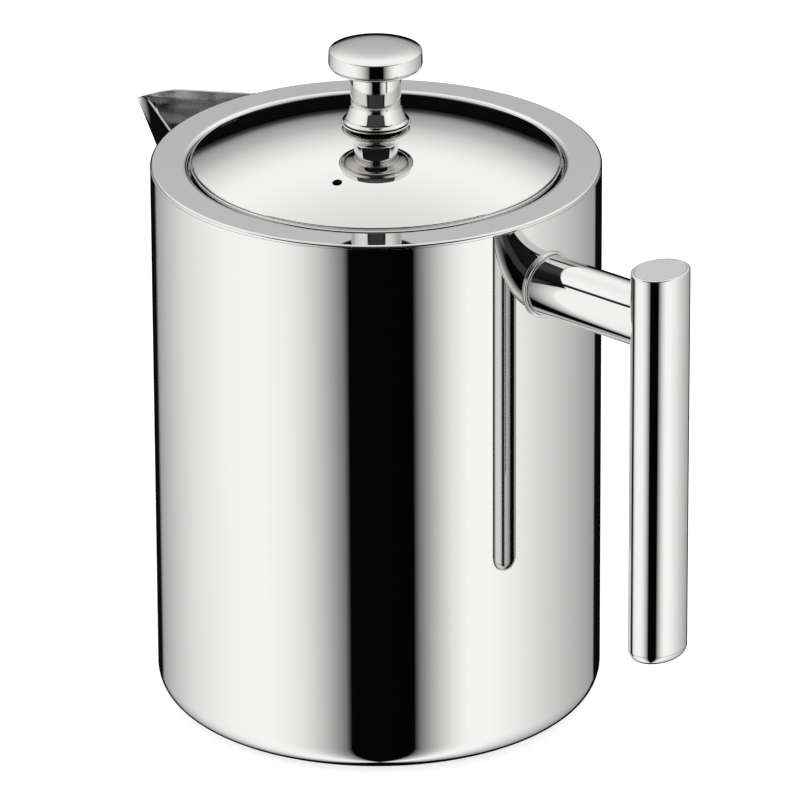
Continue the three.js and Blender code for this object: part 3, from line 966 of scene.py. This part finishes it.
def ribbed_ring(inner, outer, bottom, top, ribs, depth):
    """A ring whose outside swells into ribs: its radius follows a raised cosine."""
    share = np.linspace(0, 1, 12 * ribs + 1)
    swell = depth * (0.5 - 0.5 * np.cos(2 * math.pi * ribs * share))
    outside = np.stack((outer - depth + swell, bottom + (top - bottom) * share), -1)
    inside = np.array(((inner, top), (inner, bottom)))
    return revolve(np.vstack((outside, inside)))


seal_thickness = 0.9 * MM
rib_depth = 0.35 * MM
seal_ribs = 3
seal_ring = ribbed_ring(
    seal_high.y - seal_thickness, seal_high.y, seal_low.z, seal_high.z, seal_ribs, rib_depth)
make_piece("seal_ring", seal_ring, silicone(), "seal", "seal_silicone", "lid_seal", sharp=60)


# ---------------------------------------------------------------- rod bush and nut
# A turned steel guide for the rod, with a thin flange on the dome and its stem through
# the dome's middle hole. A hexagon nut on the stem clamps it from below.

bush_low, bush_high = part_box("rod_bush")
bush_bore = 2.6 * MM
bush_stem = 4 * MM
flange_radius = bush_high.y
undercut_foot = 7.6 * MM
flange_edge = 0.2 * MM
foot_gap = 0.03 * MM
mouth_bevel = 0.2 * MM


def bush_profile():
    """Stem, then a flange whose foot follows the dome, undercut below a thin round edge."""
    outwards = np.linspace(bush_hole + 0.3 * MM, undercut_foot, 8)
    foot = np.stack((outwards, dome_height(outwards) + foot_gap), -1)
    stem = filleted([
        (bush_bore, bush_low.z, 0.1 * MM),
        (bush_stem, bush_low.z, 0.3 * MM),
        (bush_stem, dome_height(bush_hole) + foot_gap, 0),
    ], closed=False, support=0.03 * MM)
    turn = np.linspace(-80, 80, 13) * math.pi / 180
    edge = np.stack((flange_radius - flange_edge * (1 - np.cos(turn)),
                     bush_high.z - flange_edge * (1 - np.sin(turn))), -1)
    top = np.array((
        (bush_bore + mouth_bevel, bush_high.z),
        (bush_bore, bush_high.z - mouth_bevel),
    ))
    return np.vstack((stem, foot, edge, top))


# The cream tint of this steel is a painted highlight: it gives the flange's rounded edge its cream
# highlight.
cream_highlight_steel = steel(
    "cream_highlight_steel", colour=(0.74, 0.72, 0.65), roughness=0.06, haze=0.03, mark_size=700,
    mark_depth=0.0005 * MM)
make_piece(
    "guide_bush", revolve(bush_profile(), 144), cream_highlight_steel, "lid", "polished_steel", "rod_bush",
    sharp=50)

nut_low, nut_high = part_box("bush_nut")
nut_corner = nut_high.x
nut_chamfer = 0.6 * MM
nut_bore = bush_stem + 0.1 * MM


def hexagon_nut(low, high, corner, bore, chamfer, steps=144):
    """A ring whose outer radius is a hexagon's, cut back to a cone at both ends.

    The hexagon's radius is its flat's distance over the cosine of the angle from the
    flat's middle.
    """
    angle = np.linspace(0, 2 * math.pi, steps, endpoint=False)[None]
    from_flat = (angle % (math.pi / 3)) - math.pi / 6
    flat = corner * math.cos(math.pi / 6)
    hexagon = flat / np.cos(from_flat)
    cone = np.full_like(hexagon, flat)
    inner = np.full_like(hexagon, bore)
    rings = [(inner, low), (cone, low)]
    for share in (0.5, 1):
        rings.append((np.minimum(hexagon, flat + (corner - flat) * share), low + chamfer * share))
    for share in (1, 0.5):
        rings.append((np.minimum(hexagon, flat + (corner - flat) * share), high - chamfer * share))
    rings += [(cone, high), (inner, high)]
    radius = np.vstack([ring for ring, _ in rings])
    height = np.repeat(np.array([[z] for _, z in rings]), steps, 1)
    verts = np.stack((radius * np.cos(angle), radius * np.sin(angle), height), -1).reshape(-1, 3)
    return verts, grid_faces(len(rings), steps, True)


make_piece(
    "hexagon_nut",
    hexagon_nut(nut_low.z, nut_high.z, nut_corner, nut_bore, nut_chamfer),
    satin_steel, "lid", "satin_steel", "bush_nut", sharp=25)


# ---------------------------------------------------------------- knob
# Turned from one bar and buffed: a flared foot, a waist with a turned line, a neck that
# swells into the head, an almost upright band and a gently crowned top.

knob_low, knob_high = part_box("knob")
head_radius = knob_high.y
head_crown = 0.8 * MM
head_edge = 0.4 * MM
head_lean = 0.1 * MM
flare_radius = 8.95 * MM
foot_radius = 7.9 * MM
foot_height = knob_low.z + 0.9 * MM
waist_radius = 6.6 * MM
waist_height = knob_low.z + 4.2 * MM
waist_length = 2 * MM
neck_swell = 0.05 * MM
neck_power = 2.2
fillet_reach, fillet_rise, fillet_room = 0.9 * MM, 0.6 * MM, 0.7 * MM
head_shoulder = 0.75
shoulder_power = 6
underside_radius = 8.9 * MM
band_top = knob_high.z - head_crown
band_foot = band_top - 3.5 * MM
underside = band_foot - 2.0 * MM
socket_radius = 2.8 * MM
socket_top = knob_low.z + 8.5 * MM


def knob_profile():
    """Straight and curved stretches from the socket, up the outside, to the crown.

    The neck's radius grows with a power of the height above the waist, the fillet and the
    bevel under the head are quarters of ellipses, and the crown is a parabola that falls
    away with the sixth power of the radius at its edge.
    """
    foot = filleted([
        (0, socket_top, 0),
        (socket_radius, socket_top, 0.2 * MM),
        (socket_radius, knob_low.z, 0.3 * MM),
        (flare_radius, knob_low.z, 0.15 * MM),
        (foot_radius, foot_height, 1 * MM),
        (waist_radius, waist_height, 2.5 * MM),
        (waist_radius, waist_height + waist_length, 0),
    ], closed=False, support=0.08 * MM)
    neck_foot = waist_height + waist_length
    neck_top = underside - fillet_room
    share = np.linspace(0, 1, 18)[1:]
    neck = np.stack((waist_radius + neck_swell * share ** neck_power,
                     neck_foot + (neck_top - neck_foot) * share), -1)
    turn = np.linspace(0, 90, 9)[1:] * math.pi / 180
    fillet = np.stack((neck[-1, 0] + fillet_reach * (1 - np.cos(turn)),
                       neck_top + fillet_rise * np.sin(turn)), -1)
    turn = np.linspace(-88, 0, 18) * math.pi / 180
    bevel = np.stack((underside_radius + (head_radius - underside_radius) * np.cos(turn),
                      band_foot + (band_foot - underside) * np.sin(turn)), -1)
    rise = np.linspace(0.1 * MM, band_top - head_edge - band_foot, 6)
    band = np.stack((head_radius - head_lean * rise / (band_top - band_foot),
                     band_foot + rise), -1)
    turn = np.linspace(0, 82, 9) * math.pi / 180
    reach = band[-1, 0] - head_edge
    corner = np.stack((reach + head_edge * np.cos(turn),
                       band_top - head_edge + head_edge * np.sin(turn)), -1)
    inwards = np.linspace(0.99, 0, 28)
    fall = (1 - head_shoulder) * inwards ** 2 + head_shoulder * inwards ** shoulder_power
    crown = np.stack((reach * inwards, band_top + head_crown * (1 - fall)), -1)
    return np.vstack((foot, neck, fillet, bevel, band, corner, crown))


make_piece(
    "turned_knob", revolve(knob_profile(), 192), mirror_steel,
    "plunger", "polished_steel", "knob", sharp=30)


# ---------------------------------------------------------------- rod and its collar
# A ground steel rod, screwed into the knob, with a turned shoulder ring that the filter
# is clamped against.

rod_low, rod_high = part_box("plunger_rod")
rod_radius = rod_high.x
rod_chamfer = 0.4 * MM
rod_profile = filleted([
    (0, rod_low.z, 0),
    (rod_radius - rod_chamfer, rod_low.z, 0.05 * MM),
    (rod_radius, rod_low.z + rod_chamfer, 0.05 * MM),
    (rod_radius, rod_high.z - rod_chamfer, 0.05 * MM),
    (rod_radius - rod_chamfer, rod_high.z, 0.05 * MM),
    (0, rod_high.z, 0),
], closed=False)
make_piece(
    "ground_rod", revolve(rod_profile, 96), mirror_steel,
    "plunger", "polished_steel", "plunger_rod")

collar_low, collar_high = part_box("rod_collar")
collar_bore = rod_radius + 0.1 * MM
collar_band = 1.4 * MM
collar_taper = 2.2 * MM
collar_profile = filleted([
    (collar_bore, collar_low.z, 0.1 * MM),
    (collar_high.x, collar_low.z, 0.3 * MM),
    (collar_high.x, collar_low.z + collar_band, 0.3 * MM),
    (collar_high.x - collar_taper, collar_high.z, 0.4 * MM),
    (collar_bore, collar_high.z, 0.1 * MM),
])
make_piece(
    "shoulder_ring", revolve(collar_profile, 96), mirror_steel,
    "plunger", "polished_steel", "rod_collar")


# ---------------------------------------------------------------- filter discs
# Two stamped discs hold the gauze: the upper one has a ring of round holes, the lower
# one is cut into six spokes. Both have their edges tumbled round.

press_edge = 0.15 * MM
hub_radius = collar_high.x


def stamped_disc(name, node, holes, bevel=press_edge):
    """A flat disc of the node's size with a rod hole and closed outlines cut through it."""
    low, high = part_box(node)
    curve = bpy.data.curves.new(name, "CURVE")
    curve.dimensions = "2D"
    curve.fill_mode = "BOTH"
    thickness = high.z - low.z
    curve.extrude = thickness / 2 - bevel
    curve.bevel_depth = bevel
    curve.bevel_resolution = 2
    angle = np.linspace(0, 2 * math.pi, 160, endpoint=False)
    circle = np.stack((np.cos(angle), np.sin(angle)), -1)
    rod_hole = circle[::4] * (rod_radius + 0.2 * MM + bevel)
    for outline in (circle * (high.x - bevel), rod_hole, *holes):
        spline = curve.splines.new("POLY")
        spline.points.add(len(outline) - 1)
        padded = np.hstack((outline, np.zeros((len(outline), 1)), np.ones((len(outline), 1))))
        spline.points.foreach_set("co", padded.ravel())
        spline.use_cyclic_u = True
    holder = bpy.data.objects.new(name, curve)
    bpy.context.scene.collection.objects.link(holder)
    evaluated = holder.evaluated_get(bpy.context.evaluated_depsgraph_get())
    flat = bpy.data.meshes.new_from_object(evaluated)
    verts = np.empty(len(flat.vertices) * 3)
    flat.vertices.foreach_get("co", verts)
    verts = verts.reshape(-1, 3) + (0, 0, (low.z + high.z) / 2)
    faces = [tuple(face.vertices) for face in flat.polygons]
    bpy.data.objects.remove(holder)
    return verts, faces


def welded(shape):
    """The same shape with doubled vertices merged and its faces turned outwards."""
    mesh = bpy.data.meshes.new("welded")
    mesh.from_pydata(np.asarray(shape[0]).tolist(), [], shape[1])
    surface = bmesh.new()
    surface.from_mesh(mesh)
    bmesh.ops.remove_doubles(surface, verts=surface.verts, dist=0.00001)
    bmesh.ops.recalc_face_normals(surface, faces=surface.faces)
    surface.to_mesh(mesh)
    surface.free()
    verts = [vertex.co.to_tuple() for vertex in mesh.vertices]
    faces = [tuple(face.vertices) for face in mesh.polygons]
    bpy.data.meshes.remove(mesh)
    return verts, faces


def round_holes(count, radius, distance):
    """Circles spaced evenly on a larger circle."""
    angle = np.linspace(0, 2 * math.pi, 40, endpoint=False)
    circle = radius * np.stack((np.cos(angle), np.sin(angle)), -1)
    for middle in np.arange(count) * 2 * math.pi / count:
        yield circle + distance * np.array((math.cos(middle), math.sin(middle)))


def spoke_windows(count, spoke, inner, outer):
    """Windows between straight spokes: an outer arc, and an inner arc walked back."""
    sector = 2 * math.pi / count
    for middle in np.arange(count) * sector:
        outside = middle + (sector / 2 - math.asin(spoke / 2 / outer)) * np.linspace(-1, 1, 24)
        inside = middle + (sector / 2 - math.asin(spoke / 2 / inner)) * np.linspace(1, -1, 10)
        yield np.vstack((
            outer * np.stack((np.cos(outside), np.sin(outside)), -1),
            inner * np.stack((np.cos(inside), np.sin(inside)), -1),
        ))


disc_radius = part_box("spring_disc")[1].x
hole_count, hole_radius = 12, 4 * MM
disc_holes = round_holes(hole_count, hole_radius, (disc_radius + hub_radius) / 2)
make_piece(
    "upper_disc", welded(stamped_disc("upper_disc", "spring_disc", disc_holes)), mirror_steel,
    "plunger", "polished_steel", "spring_disc", sharp=30)

plate_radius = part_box("cross_plate")[1].x
spoke_count, spoke_width = 6, 6 * MM
window_inner = hub_radius + spoke_width / 2
window_outer = plate_radius - spoke_width
plate_windows = spoke_windows(spoke_count, spoke_width, window_inner, window_outer)
make_piece(
    "spoked_disc", welded(stamped_disc("spoked_disc", "cross_plate", plate_windows)), mirror_steel,
    "plunger", "polished_steel", "cross_plate", sharp=30)


# ---------------------------------------------------------------- edge coil
# A close coil of spring wire is bent into a ring round the upper disc, where it wipes
# the cup's wall as the plunger moves.

coil_low, coil_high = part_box("edge_spring")
wire_radius = 0.3 * MM
coil_radius = (coil_high.z - coil_low.z) / 2 - wire_radius
coil_circle = coil_high.x - coil_radius - wire_radius
coil_height = (coil_high.z + coil_low.z) / 2
coil_turns = 190


def ring_coil(steps=12, sides=6):
    """A tube along a helix wound on a circle: the helix angle is coil_turns times as fast."""
    around = np.linspace(0, 2 * math.pi, coil_turns * steps, endpoint=False)
    wound = around * coil_turns
    outward = np.stack((np.cos(around), np.sin(around), np.zeros_like(around)), -1)
    up = np.array((0.0, 0.0, 1.0))
    swing = np.cos(wound)[:, None] * outward + np.sin(wound)[:, None] * up
    centre = coil_circle * outward + coil_height * up + coil_radius * swing
    ahead = np.roll(centre, -1, 0) - np.roll(centre, 1, 0)
    ahead /= np.linalg.norm(ahead, axis=1)[:, None]
    sideways = np.cross(ahead, swing)
    section = np.linspace(0, 2 * math.pi, sides, endpoint=False)
    tube = (centre[:, None]
            + wire_radius * np.cos(section)[None, :, None] * swing[:, None]
            + wire_radius * np.sin(section)[None, :, None] * sideways[:, None])
    return tube.reshape(-1, 3), grid_faces(len(around), sides, True)


make_piece(
    "edge_coil", welded(ring_coil()), satin_steel, "plunger", "satin_steel", "edge_spring",
    sharp=80)


# ---------------------------------------------------------------- gauze
# Fine plain-woven steel gauze, cut to a disc and clamped between the two stamped discs.
# Its edge is folded into a flat hem.

gauze_low, gauze_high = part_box("mesh_screen")
gauze_pitch = 0.45 * MM


def weave_group():
    """Plain weave: wires run along X and Y and pass over each other by turns.

    Each wire's height is a half sine across it, lifted or sunk by a sine along it. The
    output mask is 0 in the holes.
    """
    group, entry, leave = new_group(
        "weave", [("Pitch", 0.0005)],
        [("Height", "NodeSocketFloat"), ("Mask", "NodeSocketFloat")])
    place = group.nodes.new("ShaderNodeTexCoord")
    split = group.nodes.new("ShaderNodeSeparateXYZ")
    group.links.new(place.outputs["Object"], split.inputs[0])
    along_x, along_y, _ = split.outputs
    turns = [
        add_math(group, "MULTIPLY", add_math(
            group, "DIVIDE", value, entry.outputs["Pitch"]), math.pi)
        for value in (along_x, along_y)
    ]
    wave_x, wave_y = [add_math(group, "SINE", turn) for turn in turns]
    lifted = add_math(group, "MULTIPLY", add_math(group, "MULTIPLY", wave_x, wave_y), 0.5)
    warp = add_math(group, "ADD", add_math(group, "ABSOLUTE", wave_x), lifted)
    weft = add_math(group, "SUBTRACT", add_math(group, "ABSOLUTE", wave_y), lifted)
    height = add_math(group, "MAXIMUM", warp, weft)
    group.links.new(height, leave.inputs["Height"])
    group.links.new(add_step(group, height, 0.35, 0.6), leave.inputs["Mask"])
    return group


def gauze_steel():
    """Dull steel wire over holes filled with painted shade, near black, in the weave's pattern."""
    material, tree, shader = new_material("gauze_steel")
    shader.inputs["Metallic"].default_value = 1
    shader.inputs["Roughness"].default_value = 0.35
    weave = tree.nodes.new("ShaderNodeGroup")
    weave.node_tree = weave_group()
    weave.inputs["Pitch"].default_value = gauze_pitch
    wire_over_painted_shade = tree.nodes.new("ShaderNodeMix")
    wire_over_painted_shade.data_type = "RGBA"
    # The holes get a near-black colour: painted shade for the dark seen through the gauze.
    wire_over_painted_shade.inputs["A"].default_value = (0.02, 0.02, 0.02, 1)
    wire_over_painted_shade.inputs["B"].default_value = (0.62, 0.62, 0.61, 1)
    tree.links.new(weave.outputs["Mask"], wire_over_painted_shade.inputs["Factor"])
    tree.links.new(wire_over_painted_shade.outputs["Result"], shader.inputs["Base Color"])
    bump = tree.nodes.new("ShaderNodeBump")
    bump.inputs["Distance"].default_value = 0.00008
    tree.links.new(weave.outputs["Height"], bump.inputs["Height"])
    tree.links.new(bump.outputs[0], shader.inputs["Normal"])
    return material


hem_width = 1.2 * MM
hem_step = 0.1 * MM
hem_inner = gauze_high.x - hem_width
hem_fold = 0.15 * MM
crease = 0.03 * MM
gauze_bore = rod_radius + 0.2 * MM
gauze_profile = filleted([
    (gauze_bore, gauze_low.z + hem_step, crease),
    (hem_inner, gauze_low.z + hem_step, crease),
    (hem_inner, gauze_low.z, crease),
    (gauze_high.x, gauze_low.z, hem_fold),
    (gauze_high.x, gauze_high.z, hem_fold),
    (hem_inner, gauze_high.z, crease),
    (hem_inner, gauze_high.z - hem_step, crease),
    (gauze_bore, gauze_high.z - hem_step, crease),
])
make_piece(
    "woven_gauze", revolve(gauze_profile, 192), gauze_steel(),
    "plunger", "gauze_steel", "mesh_screen")


# ---------------------------------------------------------------- hub nut
# A round steel nut with straight knurling, screwed on the end of the rod. It clamps the
# filter together and is undone by hand for washing.

hub_low, hub_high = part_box("hub_nut")
knurls = 60
knurl_depth = 0.25 * MM
hub_corner = 0.5 * MM
hub_bore = rod_radius + 0.1 * MM


def knurled_nut(steps=8):
    """A ring whose outer radius dips by a raised cosine at each knurl, flat at its ends."""
    count = knurls * steps
    angle = np.linspace(0, 2 * math.pi, count, endpoint=False)
    dip = knurl_depth * (0.5 - 0.5 * np.cos(angle * knurls))
    profile = filleted([
        (hub_bore, hub_low.z, 0.1 * MM),
        (hub_high.x, hub_low.z, hub_corner),
        (hub_high.x, hub_high.z, hub_corner),
        (hub_bore, hub_high.z, 0.1 * MM),
    ])
    outermost = np.clip((profile[:, :1] - hub_high.x + hub_corner) / hub_corner, 0, 1)
    radius = profile[:, :1] - dip[None] * outermost
    height = np.repeat(profile[:, 1:], count, 1)
    verts = np.stack((radius * np.cos(angle), radius * np.sin(angle), height), -1)
    return verts.reshape(-1, 3), grid_faces(len(profile), count, True)


make_piece("knurled_nut", knurled_nut(), satin_steel, "plunger", "satin_steel", "hub_nut")
